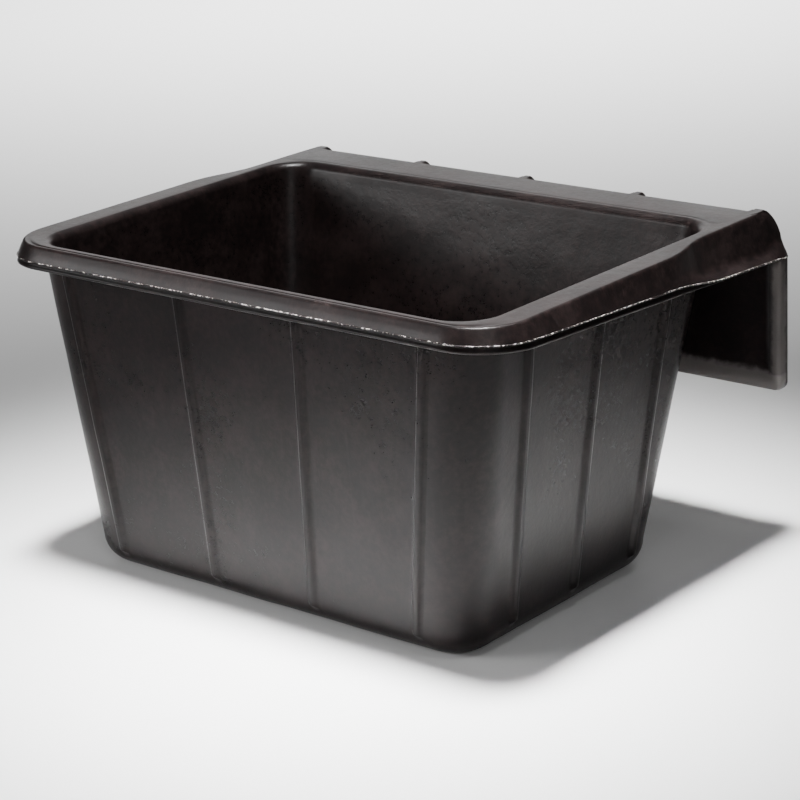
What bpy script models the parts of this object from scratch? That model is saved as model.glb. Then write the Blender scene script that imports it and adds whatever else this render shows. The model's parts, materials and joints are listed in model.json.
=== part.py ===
"""A hook-over feed bucket for horses: a tapered rubber tub with a broad flange round its mouth and a deep
hook along its back, which hangs over a stable door or a fence rail.

The bucket stands on Z = 0 and the origin lies under the centre of its mouth. X runs along the bucket, its
front faces -Y and the hook is at +Y. All sizes are in metres.
"""

import math

import bmesh
import bpy
from mathutils import Matrix, Vector

# Tub, measured outside. Its walls run straight from the base to the plane of the flange's top.
HEIGHT = 0.215
TOP_LENGTH = 0.361
TOP_FRONT = 0.127  # how far the front wall stands from the origin
TOP_BACK = 0.1275
SIDE_DRAFT = 0.0259  # how far each wall leans out from the base to the plane of the flange's top
FRONT_DRAFT = 0.0099
BACK_DRAFT = 0.0457
WALL = 0.006
FLOOR = 0.007
CORNER_RADIUS = 0.0295
BASE_RADIUS = 0.019

# Flange round the mouth
FLANGE_THICKNESS = 0.007
FLAT_OVERHANG = 0.015  # flat top beyond each side wall
FLAT_FRONT_OVERHANG = 0.0045
EDGE_FLARE = 0.006  # how far the outer edge leans out below the flat
FRONT_FLARE = 0.0055
FLANGE_CORNER_RADIUS = 0.034
FLANGE_DEPTH = 0.014  # of the edge at the front
EDGE_SLOPE = 0.05  # the edge gets deeper by this much for each metre towards the hook
BEAD_HEIGHT = 0.005  # below the parting line
BEAD_FADE = 0.8  # share of the bead that is gone at the deck
SKIRT = 0.0065
SKIRT_START = -0.105  # the edge is hollow underneath from here back
LIP_RADIUS = 0.005
LIP_TURN = 80.0  # degrees of its round that the mouth's lip turns through

# Hook
DECK_DEPTH = 0.044  # from the back of the mouth to the outside of the hook
DECK_RADIUS = 0.0165
DECK_NARROWING = 0.0092  # the flat top draws in by this much at each end of the deck
NARROWING_START = 0.045
NARROWING_END = 0.092
LEDGE = 0.008  # at the foot of each end web
LEDGE_RISE = 0.004
LEDGE_BEHIND = 0.002
LEDGE_CORNER_RADIUS = 0.0115  # in plan, at each back end of the ledge
PLATE_DROP = 0.118  # from the flange's top to the plate's lower edge
PLATE_INSET = 0.0043  # each end of the plate, from the flange's widest line
PLATE_EDGE_THICKNESS = 0.011
PLATE_THICKNESS = 0.006
PLATE_BORDER = 0.004
PLATE_EDGE_RADIUS = 0.003
WEB_START = 0.097

# Ribs
RIB_WIDTH = 0.006
RIB_HEIGHT = 0.0025
RIB_END = 0.018  # above the floor
RIB_ROOT = 0.002  # sunk into the wall
RIB_ROUNDING = 0.9  # share of a rib's height that its edges' rounding takes
FRONT_RIBS = 4
FRONT_RIB_INSET = 0.0058  # from the start of the corner's round to the outermost rib
SIDE_RIBS = 3
SIDE_RIB_SPACING = 0.072  # in the plane of the flange's top
SIDE_RIB_SPACING_BASE = 0.0605
SIDE_RIB_SHIFT = -0.0023  # from the middle of the side wall
SIDE_RIB_SHIFT_BASE = 0.0077
HOOK_RIBS = 5
HOOK_RIB_INSET = 0.0063  # from the deck's end to the outermost rib
HOOK_RIB_HEIGHT = 0.003
HOOK_RIB_RISE = 24.0  # degrees from the vertical at which a rib fades into the deck
HOOK_RIB_END = 0.012  # above the plate's lower edge

GAP = 0.0003  # between solids that touch
OVERRUN = 0.02  # how far a cutter passes the shape it cuts
FAR = 1.0  # beyond every side of the bucket
CORNER_STEPS = 8
BASE_STEPS = 6
EDGE_STEPS = 3
LIP_STEPS = 5
SHARP_ANGLE = 35.0
RUBBER_SHADE = 0.022
RUBBER_ROUGHNESS = 0.45

DECK_BACK = TOP_BACK + DECK_DEPTH
FLAT_HALF = TOP_LENGTH / 2 + FLAT_OVERHANG
WIDEST_HALF = FLAT_HALF + EDGE_FLARE
FLAT_FRONT = TOP_FRONT + FLAT_FRONT_OVERHANG
WIDEST_FRONT = FLAT_FRONT + FRONT_FLARE
DECK_HALF = FLAT_HALF - DECK_NARROWING
HOOK_RIB_SPACING = 2 * (DECK_HALF - HOOK_RIB_INSET) / (HOOK_RIBS - 1)
UNDERSIDE = HEIGHT - FLANGE_THICKNESS

bucket = bpy.data.collections.new("hook_over_feed_bucket")
cutters = bpy.data.collections.new("cutters")


def clear_scene():
    for obj in list(bpy.data.objects):
        bpy.data.objects.remove(obj, do_unlink=True)


def rubber(name):
    material = bpy.data.materials.new(name)
    material.use_nodes = True
    shader = material.node_tree.nodes["Principled BSDF"]
    shader.inputs["Base Color"].default_value = (RUBBER_SHADE, RUBBER_SHADE, RUBBER_SHADE, 1.0)
    shader.inputs["Roughness"].default_value = RUBBER_ROUGHNESS
    shader.inputs["Metallic"].default_value = 0.0
    return material


def add_object(name, shape, collection):
    """A closed mesh object from a bmesh, with its faces split into triangles and turned outwards."""
    bmesh.ops.recalc_face_normals(shape, faces=shape.faces[:])
    bmesh.ops.triangulate(shape, faces=shape.faces[:])
    mesh = bpy.data.meshes.new(name)
    shape.to_mesh(mesh)
    shape.free()
    obj = bpy.data.objects.new(name, mesh)
    collection.objects.link(obj)
    return obj


def add_part(name, shape):
    part = add_object(name, shape, bucket)
    part.data.materials.append(rubber(name))
    return part


def add_cutter(name, shape):
    cutter = add_object(name, shape, cutters)
    cutter.hide_render = True
    cutter.display_type = "WIRE"
    return cutter


def boolean(target, other, operation):
    modifier = target.modifiers.new(f"{operation.lower()} {other.name}", "BOOLEAN")
    modifier.operation = operation
    modifier.solver = "EXACT"
    modifier.object = other


def shade_round(part):
    """Smooth shading with the real edges kept sharp, once the cuts are made."""
    bpy.context.view_layer.update()
    graph = bpy.context.evaluated_depsgraph_get()
    mesh = bpy.data.meshes.new_from_object(part.evaluated_get(graph))
    mesh.shade_smooth()
    mesh.set_sharp_from_angle(angle=math.radians(SHARP_ANGLE))
    part.modifiers.clear()
    part.data = mesh


def box(low, high):
    shape = bmesh.new()
    bmesh.ops.create_cube(shape, size=1.0)
    size = Vector(high) - Vector(low)
    middle = (Vector(high) + Vector(low)) / 2
    place = Matrix.Translation(middle) @ Matrix.Diagonal((*size, 1.0))
    bmesh.ops.transform(shape, matrix=place, verts=shape.verts)
    return shape


def round_edges(shape, edges, radius, steps):
    bmesh.ops.bevel(shape, geom=edges, offset=radius, segments=steps, profile=0.5, affect="EDGES")


def spread(count, spacing):
    """Places of a row of ribs, even about its middle."""
    return [(i - (count - 1) / 2) * spacing for i in range(count)]


# The tub


def at_height(top, draft, z):
    """How far a wall stands out at a height, from its place at the top and its draft."""
    return top - draft * (1 - z / HEIGHT)


def tub_plan(z, inset=0.0):
    """Half length, front and back of the tub's outside at a height, drawn in by an inset."""
    half = at_height(TOP_LENGTH / 2, SIDE_DRAFT, z) - inset
    front = at_height(TOP_FRONT, FRONT_DRAFT, z) - inset
    back = at_height(TOP_BACK, BACK_DRAFT, z) - inset
    return half, front, back


def tub_block(bottom, top, inset, corner_radius, base_radius):
    """The tub's outside as a solid, drawn in by an inset, with its upright and base edges rounded."""
    shape = bmesh.new()
    bmesh.ops.create_cube(shape, size=2.0)
    for corner in shape.verts:
        z = top if corner.co.z > 0 else bottom
        half, front, back = tub_plan(z, inset)
        corner.co = (math.copysign(half, corner.co.x), back if corner.co.y > 0 else -front, z)
    upright = [e for e in shape.edges if abs(e.verts[0].co.z - e.verts[1].co.z) > WALL]
    round_edges(shape, upright, corner_radius, CORNER_STEPS)
    if base_radius:
        around_base = [e for e in shape.edges if max(v.co.z for v in e.verts) < bottom + GAP]
        round_edges(shape, around_base, base_radius, BASE_STEPS)
    return shape


def rib_between(high, low, outward):
    """A half-round bar on a wall, from one point of its surface to another, with a rounded lower end."""
    along = (high - low).normalized()
    across = along.cross(outward).normalized()
    out = across.cross(along)
    if out.dot(outward) < 0:
        out.negate()
    length = (high - low).length
    shape = box((-RIB_WIDTH / 2, -RIB_ROOT, 0.0), (RIB_WIDTH / 2, RIB_HEIGHT, length))
    top = [e for e in shape.edges if all(v.co.y > 0 for v in e.verts)]
    outer = [e for e in top if min(v.co.z for v in e.verts) < GAP]
    round_edges(shape, outer, RIB_HEIGHT * RIB_ROUNDING, EDGE_STEPS)
    place = Matrix((across, out, along)).transposed().to_4x4()
    bmesh.ops.transform(shape, matrix=Matrix.Translation(low) @ place, verts=shape.verts)
    return shape


def front_rib_places(half):
    """Places of the front wall's ribs where the tub is this long, even between its corners."""
    reach = half - CORNER_RADIUS - FRONT_RIB_INSET
    return spread(FRONT_RIBS, 2 * reach / (FRONT_RIBS - 1))


def tub_ribs():
    """The upright ribs on all four walls: upper end, lower end and the way the wall faces."""
    top = HEIGHT - FLANGE_DEPTH - RIB_HEIGHT
    half_top, front_top, back_top = tub_plan(top)
    half_low, front_low, back_low = tub_plan(RIB_END)
    ribs = []
    for upper, lower in zip(front_rib_places(half_top), front_rib_places(half_low)):
        for high_y, low_y, faces in ((-front_top, -front_low, -1), (back_top, back_low, 1)):
            high = Vector((upper, high_y, top))
            low = Vector((lower, low_y, RIB_END))
            ribs.append((high, low, Vector((0, faces, 0))))
    middle_top = (back_top - front_top) / 2 + SIDE_RIB_SHIFT
    middle_low = (back_low - front_low) / 2 + SIDE_RIB_SHIFT_BASE
    side_places = zip(spread(SIDE_RIBS, SIDE_RIB_SPACING), spread(SIDE_RIBS, SIDE_RIB_SPACING_BASE))
    for upper, lower in side_places:
        for side in (-1, 1):
            high = Vector((side * half_top, middle_top + upper, top))
            low = Vector((side * half_low, middle_low + lower, RIB_END))
            ribs.append((high, low, Vector((side, 0, 0))))
    return ribs


def make_tub():
    tub = add_part("tub_shell", tub_block(0.0, UNDERSIDE - GAP, 0.0, CORNER_RADIUS, BASE_RADIUS))
    for number, (high, low, outward) in enumerate(tub_ribs()):
        boolean(tub, add_cutter(f"tub_rib_{number}", rib_between(high, low, outward)), "UNION")
    inner_radius = CORNER_RADIUS - WALL
    hollow = tub_block(FLOOR, HEIGHT + OVERRUN, WALL, inner_radius, BASE_RADIUS - WALL)
    boolean(tub, add_cutter("tub_hollow", hollow), "DIFFERENCE")
    shade_round(tub)


# The flange and the deck of the hook, which share one outline


def loft(rings):
    """A closed solid through rings of equally many points, the first ring at the bottom."""
    shape = bmesh.new()
    loops = [[shape.verts.new(point) for point in ring] for ring in rings]
    count = len(loops[0])
    for lower, upper in zip(loops, loops[1:]):
        for i in range(count):
            shape.faces.new((lower[i], lower[(i + 1) % count], upper[(i + 1) % count], upper[i]))
    shape.faces.new(loops[0][::-1])
    shape.faces.new(loops[-1])
    return shape


def narrowing(y):
    """Goes smoothly from 0 at the start of the deck's narrowing to 1 at its end."""
    share = min(max((y - NARROWING_START) / (NARROWING_END - NARROWING_START), 0.0), 1.0)
    return share * share * (3 - 2 * share)


def flange_ring(half, half_at_deck, front, back, radius, level):
    """Outline of the flange and deck. level is a height, or a function that gives it from y."""
    side = []
    for step in range(CORNER_STEPS + 1):
        angle = math.radians(90) * step / CORNER_STEPS
        x = half - radius + radius * math.sin(angle)
        side.append((x, radius - radius * math.cos(angle) - front))
    for step in range(CORNER_STEPS + 1):
        y = NARROWING_START + (NARROWING_END - NARROWING_START) * step / CORNER_STEPS
        side.append((half + (half_at_deck - half) * narrowing(y), y))
    side.append((half_at_deck, back))
    outline = side + [(-x, y) for x, y in reversed(side)]
    return [(x, y, level(y) if callable(level) else level) for x, y in outline]


def flange_bottom(y):
    return HEIGHT - FLANGE_DEPTH - EDGE_SLOPE * (y + WIDEST_FRONT)


def round_back_edge(shape, back, top, radius):
    """Rounds the upper back edge of a flange or pocket solid."""
    edge = [
        e for e in shape.edges
        if all(abs(v.co.y - back) < GAP and abs(v.co.z - top) < GAP for v in e.verts)
    ]
    round_edges(shape, edge, radius, CORNER_STEPS)


def flange_envelope():
    """Outside of the flange and the deck: flat top, flared edge, ledge at the parting line and bead below."""
    foot_half = WIDEST_HALF - LEDGE
    widest_back = DECK_BACK + LEDGE_BEHIND
    flare = (FLAT_HALF + EDGE_FLARE / 2, foot_half, FLAT_FRONT + FRONT_FLARE / 2, DECK_BACK)
    widest = (WIDEST_HALF, WIDEST_HALF, WIDEST_FRONT, widest_back)

    def ledge_foot(y):
        return flange_bottom(y) + BEAD_HEIGHT + LEDGE_RISE

    def parting(y):
        return flange_bottom(y) + BEAD_HEIGHT * (1 - BEAD_FADE * narrowing(y))

    rings = [
        flange_ring(*widest, FLANGE_CORNER_RADIUS, flange_bottom),
        flange_ring(*widest, FLANGE_CORNER_RADIUS, parting),
        flange_ring(*flare, FLANGE_CORNER_RADIUS, ledge_foot),
        flange_ring(FLAT_HALF, DECK_HALF, FLAT_FRONT, DECK_BACK, FLANGE_CORNER_RADIUS, HEIGHT),
    ]
    shape = loft(rings)
    round_back_edge(shape, DECK_BACK, HEIGHT, DECK_RADIUS)
    return shape


def flange_pocket():
    """The hollow under the sides of the flange and under the deck."""
    deck_half = DECK_HALF - SKIRT
    foot_half = WIDEST_HALF - LEDGE - SKIRT
    front = -SKIRT_START
    back = DECK_BACK - FLANGE_THICKNESS
    radius = CORNER_RADIUS / 2
    below = flange_bottom(DECK_BACK) - OVERRUN
    rings = [
        flange_ring(WIDEST_HALF - SKIRT, foot_half, front, back, radius, below),
        flange_ring(FLAT_HALF - SKIRT, deck_half, front, back, radius, UNDERSIDE),
    ]
    shape = loft(rings)
    round_back_edge(shape, back, UNDERSIDE, DECK_RADIUS - FLANGE_THICKNESS)
    return shape


def mouth_ring(offset, z):
    """Rounded outline of the tub's inside at a height, grown by an offset."""
    half, front, back = tub_plan(z, WALL - offset)
    radius = CORNER_RADIUS - WALL + offset
    ring = []
    corners = ((half, -front), (half, back), (-half, back), (-half, -front))
    for turn, (x, y) in enumerate(corners):
        centre_x = x - math.copysign(radius, x)
        centre_y = y - math.copysign(radius, y)
        for step in range(CORNER_STEPS + 1):
            angle = math.radians(90 * (turn - 1 + step / CORNER_STEPS))
            ring.append((centre_x + radius * math.cos(angle), centre_y + radius * math.sin(angle), z))
    return ring


def mouth_cutter():
    """The opening through the flange, with its upper edge rounded outwards into a lip."""
    rings = [mouth_ring(0.0, UNDERSIDE - OVERRUN)]
    for step in range(LIP_STEPS + 1):
        angle = math.radians(LIP_TURN) * step / LIP_STEPS
        offset = LIP_RADIUS * (1 - math.cos(angle))
        rings.append(mouth_ring(offset, HEIGHT - LIP_RADIUS * (1 - math.sin(angle))))
    rings.append(mouth_ring(LIP_RADIUS, HEIGHT + OVERRUN))
    return loft(rings)


def deck_rib_profile():
    """Profile of one hook rib over the deck's back edge, as points in Y and Z."""
    centre_y = DECK_BACK - DECK_RADIUS
    centre_z = HEIGHT - DECK_RADIUS
    low = flange_bottom(DECK_BACK)
    points = [(DECK_BACK - RIB_ROOT, low), (DECK_BACK + HOOK_RIB_HEIGHT, low)]
    for step in range(CORNER_STEPS + 1):
        angle = math.radians(90 + (HOOK_RIB_RISE - 90) * step / CORNER_STEPS)
        faded = max(0.0, step / CORNER_STEPS - 0.5) * 2
        reach = DECK_RADIUS + HOOK_RIB_HEIGHT * (1 - faded) - RIB_ROOT / 2 * faded
        points.append((centre_y + reach * math.sin(angle), centre_z + reach * math.cos(angle)))
    inner = DECK_RADIUS - RIB_ROOT
    for step in range(CORNER_STEPS + 1):
        angle = math.radians(HOOK_RIB_RISE + (90 - HOOK_RIB_RISE) * step / CORNER_STEPS)
        points.append((centre_y + inner * math.sin(angle), centre_z + inner * math.cos(angle)))
    return points


def deck_rib(x):
    profile = deck_rib_profile()
    rings = [[(x + side * RIB_WIDTH / 2, y, z) for y, z in profile] for side in (-1, 1)]
    return loft(rings)


def side_box(side, inside, near_y, far_y, top):
    """A box from inside outwards past one end of the bucket, on side -1 or 1."""
    low_x, high_x = sorted((side * inside, side * FAR))
    return box((low_x, near_y, 0.0), (high_x, far_y, top))


def ledge_corner_cutter(side):
    """What lies outside the rounded back end of the ledge, on side -1 or 1."""
    radius = LEDGE_CORNER_RADIUS
    reach = radius + OVERRUN
    centre_x = WIDEST_HALF - radius
    centre_y = DECK_BACK + LEDGE_BEHIND - radius
    plan = [(centre_x, centre_y + reach), (centre_x + reach, centre_y + reach), (centre_x + reach, centre_y)]
    for step in range(CORNER_STEPS + 1):
        angle = math.radians(90) * step / CORNER_STEPS
        plan.append((centre_x + radius * math.cos(angle), centre_y + radius * math.sin(angle)))
    top = flange_bottom(0.0) + OVERRUN
    return loft([[(side * x, y, z) for x, y in plan] for z in (0.0, top)])


def make_flange_part(name, kept, *cuts):
    """One piece of the flange's envelope: the part inside a region, less the cutters."""
    part = add_part(name, flange_envelope())
    boolean(part, add_cutter(f"{name}_region", kept), "INTERSECT")
    for cut in cuts:
        boolean(part, cut, "DIFFERENCE")
    return part


def make_flange():
    """Cuts the flange, the deck and the two end webs from one outline, so that their faces line up."""
    pocket = add_cutter("flange_pocket", flange_pocket())
    mouth = add_cutter("mouth", mouth_cutter())
    around_tub = tub_block(-OVERRUN, UNDERSIDE, -GAP, CORNER_RADIUS + GAP, 0.0)
    clearance = add_cutter("tub_clearance", around_tub)
    rim_end = WEB_START - GAP / 2
    deck_start = WEB_START + GAP / 2
    web_inside = DECK_HALF - SKIRT - WALL
    web_back = DECK_BACK - DECK_RADIUS
    cuts = (pocket, mouth, clearance)
    shade_round(make_flange_part("rim_flange", box((-FAR, -FAR, 0.0), (FAR, rim_end, FAR)), *cuts))
    deck = make_flange_part("hook_deck", box((-FAR, deck_start, 0.0), (FAR, FAR, FAR)), *cuts)
    for side, name in ((-1, "left"), (1, "right")):
        kept = side_box(side, web_inside, deck_start, web_back, UNDERSIDE - GAP / 2)
        shade_round(make_flange_part(f"hook_web_{name}", kept, pocket, clearance))
        seat = side_box(side, web_inside - GAP, -FAR, web_back + GAP, UNDERSIDE + GAP / 2)
        boolean(deck, add_cutter(f"web_seat_{name}", seat), "DIFFERENCE")
        boolean(deck, add_cutter(f"ledge_corner_{name}", ledge_corner_cutter(side)), "DIFFERENCE")
    for number, x in enumerate(spread(HOOK_RIBS, HOOK_RIB_SPACING)):
        boolean(deck, add_cutter(f"deck_rib_{number}", deck_rib(x)), "UNION")
    shade_round(deck)


# The hook's plate


def below_parting(shape, slack):
    """Moves the upper corners of a solid onto the flange's underside, less a slack."""
    top = max(v.co.z for v in shape.verts)
    for corner in shape.verts:
        if corner.co.z > top - GAP:
            corner.co.z = flange_bottom(corner.co.y) - slack


def plate_recess(half, low, high, face):
    """A hollow in the plate's inner face with sloping sides. half and low are its edges at that face."""
    depth = PLATE_EDGE_THICKNESS - PLATE_THICKNESS
    shape = box((-half - depth, face - depth, low - depth), (half + depth, face + depth, high))
    for corner in shape.verts:
        if corner.co.y > face:
            corner.co.x -= math.copysign(2 * depth, corner.co.x)
            if corner.co.z < low:
                corner.co.z += 2 * depth
    return shape


def plate_rib(x, outside, low):
    """One hook rib down the plate's outside, with a rounded foot."""
    near = (x - RIB_WIDTH / 2, outside - RIB_ROOT, low + HOOK_RIB_END)
    shape = box(near, (x + RIB_WIDTH / 2, outside + HOOK_RIB_HEIGHT, HEIGHT))
    foot = [e for e in shape.edges if all(v.co.y > outside and v.co.z < UNDERSIDE for v in e.verts)]
    round_edges(shape, foot, HOOK_RIB_HEIGHT * RIB_ROUNDING, EDGE_STEPS)
    below_parting(shape, GAP)
    return shape


def make_plate():
    half = WIDEST_HALF - PLATE_INSET
    outside = DECK_BACK + LEDGE_BEHIND
    face = outside - PLATE_EDGE_THICKNESS
    low = HEIGHT - PLATE_DROP
    shape = box((-half, face, low), (half, outside, HEIGHT))
    lower = [e for e in shape.edges if min(v.co.z for v in e.verts) < low + GAP]
    round_edges(shape, lower, PLATE_EDGE_RADIUS, EDGE_STEPS)
    below_parting(shape, GAP)
    plate = add_part("hook_plate", shape)
    for number, x in enumerate(spread(HOOK_RIBS, HOOK_RIB_SPACING)):
        boolean(plate, add_cutter(f"plate_rib_{number}", plate_rib(x, outside, low)), "UNION")
    recess = plate_recess(half - PLATE_BORDER, low + PLATE_BORDER, HEIGHT + OVERRUN, face)
    boolean(plate, add_cutter("plate_recess", recess), "DIFFERENCE")
    shade_round(plate)


clear_scene()
for collection in (bucket, cutters):
    bpy.context.scene.collection.children.link(collection)
make_tub()
make_flange()
make_plate()
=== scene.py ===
# %% [markdown]
# # A hook-over feed bucket in black rubber
# The real bucket is one piece of rubber, pressed in a two-part mould: a tapered tub, a broad flange round its
# mouth, and a deep hook along the back that goes over a stable door. It could be cut and bevelled out of
# boxes, but a moulding is all gentle slopes and small rounds. This lesson builds its skin as a grid of points
# instead, which keeps every slope and round smooth.

# %% Load the frame
import json
import math

import bmesh
import bpy
import numpy as np
from mathutils import Matrix, Vector, noise

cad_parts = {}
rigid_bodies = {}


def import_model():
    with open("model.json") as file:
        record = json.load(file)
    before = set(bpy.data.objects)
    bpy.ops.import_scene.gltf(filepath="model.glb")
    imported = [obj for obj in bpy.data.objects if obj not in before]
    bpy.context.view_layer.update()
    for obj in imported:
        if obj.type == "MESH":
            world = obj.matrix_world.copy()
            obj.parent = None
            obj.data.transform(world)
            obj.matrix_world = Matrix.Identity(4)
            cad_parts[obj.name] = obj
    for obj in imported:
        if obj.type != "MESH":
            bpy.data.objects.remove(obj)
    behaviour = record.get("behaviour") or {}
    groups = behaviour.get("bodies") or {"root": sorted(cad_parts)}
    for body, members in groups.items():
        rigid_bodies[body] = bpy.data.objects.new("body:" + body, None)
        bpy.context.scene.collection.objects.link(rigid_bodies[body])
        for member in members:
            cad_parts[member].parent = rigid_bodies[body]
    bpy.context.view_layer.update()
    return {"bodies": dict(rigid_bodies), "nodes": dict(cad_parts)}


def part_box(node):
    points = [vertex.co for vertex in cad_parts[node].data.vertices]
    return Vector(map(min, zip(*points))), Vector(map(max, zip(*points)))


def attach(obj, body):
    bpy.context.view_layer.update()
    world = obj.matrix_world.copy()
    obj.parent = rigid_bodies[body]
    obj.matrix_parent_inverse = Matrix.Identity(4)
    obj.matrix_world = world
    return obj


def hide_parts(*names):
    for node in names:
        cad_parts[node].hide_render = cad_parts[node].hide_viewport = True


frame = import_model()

print("nodes:", sorted(frame["nodes"]))

# %% [markdown]
# ## Sizes
# The overall sizes come from the frame, so the skin can't drift away from the solid that it covers. The small
# ones, such as wall thickness and rounds, are written here once. Everything below is in millimetres, which is
# how a mould maker would say it, and a mesh is scaled to metres when it is made.

# %% Sizes from the frame, in millimetres
MM = 0.001


def corners_mm(node):
    low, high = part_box(node)
    return np.array(low) / MM, np.array(high) / MM


rim_low, rim_high = corners_mm("rim_flange")
plate_low, plate_high = corners_mm("hook_plate")
TOP = rim_high[2]
WIDEST = rim_high[0]
FRONT = -rim_low[1]
PLATE_FOOT = plate_low[2]
PLATE_FACE = plate_low[1]
PLATE_END = plate_high[0]
print("top", TOP, "widest", WIDEST, "front", FRONT, "plate", plate_low, plate_high)

# %% Sizes of the tub
TUB_HALF = (154.6, 180.5)  # half length at the floor and at the top
TUB_FRONT = (117.1, 127.0)
TUB_BACK = (81.8, 127.5)
WALL = 6.0
FLOOR = 7.0
CORNER = 29.5
BASE_ROUND = 19.0
FRONT_RIBS = ((39.8, 48.4), (119.3, 145.2))  # distance from the middle at the floor and at the top
SIDE_RIBS = ((-70.5, -74.0), (-10.0, -2.0), (50.5, 70.0))
RIB_HEIGHT = 2.5
RIB_FOOT = 17.0


def at(pair, z):
    """A size of the tub at height z, from its value at the floor and at the top."""
    return pair[0] + (pair[1] - pair[0]) * z / TOP


print("tub at the top:", 2 * TUB_HALF[1], "by", TUB_FRONT[1] + TUB_BACK[1])

# %% Sizes of the flange and the hook
LIP = 5.0
FLAT_HALF = 195.5
FLAT_FRONT = 131.5
FLANGE_CORNER = 34.0
FLANGE_THICKNESS = 7.0
FLANGE_DEPTH = 14.0  # of the edge at the front
EDGE_SLOPE = 0.05  # the edge gets deeper by this much for each millimetre towards the hook
BEAD_HEIGHT = 5.0  # below the parting line
BEAD_FADE = 0.8  # share of the bead's height that is gone at the hook
SKIRT = 6.5
DECK_HALF = 186.3
DECK_BACK = 171.5
DECK_ROUND = 16.5
FOOT_HALF = 193.5
LEDGE_RISE = 4.0
LEDGE_CORNER = 11.5
NARROWING = (45.0, 92.0)
HOOK_RIBS = (0.0, 90.0, 180.0)
HOOK_RIB_HEIGHT = 3.0
FIN = 0.6  # how far the thin fin of the parting line stands out
UNDERSIDE = TOP - FLANGE_THICKNESS
BAND_HALF = WIDEST - FIN
BAND_FRONT = FRONT - 1.0  # where the band is widest, just short of the solid's front
print("flat top:", 2 * FLAT_HALF, "by", FLAT_FRONT + DECK_BACK)

# %% Slopes that ease in and out
QUARTER = math.radians(90)


def smooth(t):
    t = np.clip(t, 0.0, 1.0)
    return t * t * (3 - 2 * t)


def ramp(value, low, high):
    """0 below low, 1 above high, and smooth in between."""
    return smooth((value - low) / (high - low))


def narrowed(y):
    """0 along the mouth and 1 at the hook, where the flat top is narrower."""
    return ramp(np.asarray(y, float), *NARROWING)


def flange_bottom(y):
    return TOP - FLANGE_DEPTH - EDGE_SLOPE * (y + FRONT)


def inner_steps(start, end, count):
    """Evenly spaced places between two ends, with neither end."""
    return np.linspace(start, end, count + 2)[1:-1]


def steps_to(start, end, count):
    """Evenly spaced places from just past start up to end."""
    return np.linspace(start, end, count + 1)[1:]


print("the flange's edge is", TOP - flange_bottom(DECK_BACK), "deep at the hook")

# %% [markdown]
# ## Columns of the grid
# The skin is a grid: its rows run round the bucket and its columns run from the middle of the floor up the
# inside, over the flange and down the outside. Upright ribs stiffen the real walls. Each could be a bar
# joined on, but then its foot would need a fillet. Here a rib is only a few columns that stand out, so
# columns are packed close where a rib is and spread out between ribs. They lean in with the walls, as the
# ribs do.

# %% Where the columns stand
RIB_PLACES = np.array([-6.0, -4.4, -3.5, -2.7, -1.8, -0.8, 0.8, 1.8, 2.7, 3.5, 4.4, 6.0])
HALF_RIB_PLACES = np.array([0.0, 0.8, 1.8, 2.7, 3.5, 4.4, 6.0])
FILL = 5  # columns between two ribs
LAST_SHARE = 0.8  # of the room between a rib and the end of its wall
CORNER_STEPS = 14
HOOK_STEPS = 26


def run(start, centres, end, first=(0.0,)):
    """Columns from start to end, packed round each rib centre. first holds the first ones, from start."""
    places = list(start + np.asarray(first))
    for centre in centres:
        room = min(1.0, LAST_SHARE * (end - centre) / RIB_PLACES[-1])
        places += list(inner_steps(places[-1], centre + RIB_PLACES[0], FILL))
        places += list(centre + np.where(RIB_PLACES > 0, RIB_PLACES * room, RIB_PLACES))
    places += list(steps_to(places[-1], end, 2))
    return np.array(places)


def front_run(z, end):
    return run(0.0, [at(rib, z) for rib in FRONT_RIBS], end)


def side_run(z):
    start = CORNER - at(TUB_FRONT, z)
    return run(start, [at(rib, z) for rib in SIDE_RIBS], at(TUB_BACK, z) - CORNER)


def back_run(z, end):
    """From the end of the back wall to its middle, with room for the tub's ribs and the hook's."""
    scale = at(TUB_HALF, z) / TUB_HALF[1]
    centres = [at(FRONT_RIBS[0], z), HOOK_RIBS[1] * scale, at(FRONT_RIBS[1], z)]
    return run(0.0, centres, end, HALF_RIB_PLACES)[::-1]


turn = np.radians(inner_steps(0, 90, CORNER_STEPS - 1))
hook_turn = np.radians(inner_steps(0, 90, HOOK_STEPS - 1))
counts = [len(front_run(0, 1)), len(turn), len(side_run(0)), len(hook_turn), len(back_run(0, 1))]
starts = np.cumsum([0] + counts)
FRONT_COLS, TURN_COLS, SIDE_COLS, HOOK_COLS, BACK_COLS = (slice(a, b) for a, b in zip(starts, starts[1:]))
HALF_COUNT = starts[-1]
print("columns in one half:", HALF_COUNT)

# %% [markdown]
# ## Rings of the tub
# Each row of the tub is the same rounded outline, a little larger the higher it is. A tapered box with
# bevelled corners would come close, but here each wall leans by its own angle while the corners keep one
# radius, and a formula gives that directly. Only the right half is worked out, and the left is its mirror
# image.

# %% One half ring of the tub
LEAST_RADIUS = 1.0


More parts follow.
